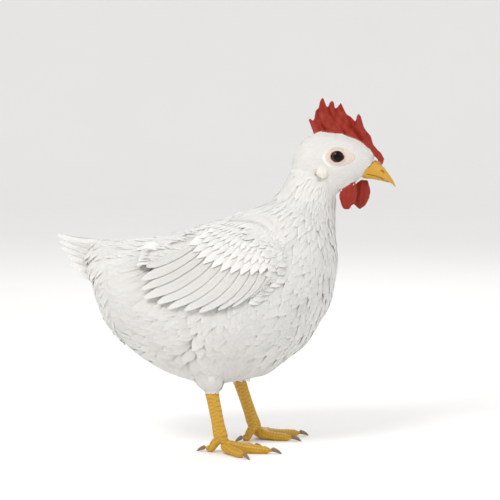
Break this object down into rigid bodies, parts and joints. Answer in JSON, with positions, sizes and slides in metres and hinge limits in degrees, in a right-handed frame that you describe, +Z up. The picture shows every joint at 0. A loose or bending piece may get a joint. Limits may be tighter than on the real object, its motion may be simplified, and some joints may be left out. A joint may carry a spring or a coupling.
{
  "type": "white hen model",
  "caption": "Life-size still model of a standing white laying hen with red comb and wattles, yellow beak and yellow legs.",
  "frame": {"origin": "on the floor, under the middle of the hen's overall box", "axes": "+X from tail to beak, +Y to the hen's left, +Z up"},
  "size_m": [0.3764, 0.1812, 0.3916],
  "materials": {
    "plumage": "soft white vaned feathers with a slight silky sheen",
    "red_skin": "finely pebbled bare red skin, slightly waxy",
    "pale_skin": "smooth enamel-white ear lobe skin",
    "beak": "smooth horn, semi-gloss",
    "scales": "overlapping yellow leg scales, satin",
    "claw": "brown-grey horn, satin",
    "eye": "wet gloss, amber iris and black pupil"
  },
  "bodies": {
    "root": {"head": "plumage", "neck": "plumage", "trunk": "plumage", "rump": "plumage", "comb": "red_skin", "beak_upper": "beak", "beak_lower": "beak", "eye_right": "eye", "earlobe_right": "pale_skin", "wattle_right": "red_skin", "wing_right_coverts": "plumage", "wing_right_secondaries": "plumage", "wing_right_primaries": "plumage", "tail_right": "plumage", "thigh_right": "plumage", "shank_right": "scales", "toe_middle_right": "scales", "claw_middle_right": "claw", "toe_inner_right": "scales", "claw_inner_right": "claw", "toe_outer_right": "scales", "claw_outer_right": "claw", "toe_hind_right": "scales", "claw_hind_right": "claw", "eye_left": "eye", "earlobe_left": "pale_skin", "wattle_left": "red_skin", "wing_left_coverts": "plumage", "wing_left_secondaries": "plumage", "wing_left_primaries": "plumage", "tail_left": "plumage", "thigh_left": "plumage", "shank_left": "scales", "toe_middle_left": "scales", "claw_middle_left": "claw", "toe_inner_left": "scales", "claw_inner_left": "claw", "toe_outer_left": "scales", "claw_outer_left": "claw", "toe_hind_left": "scales", "claw_hind_left": "claw"}
  },
  "joints": []
}
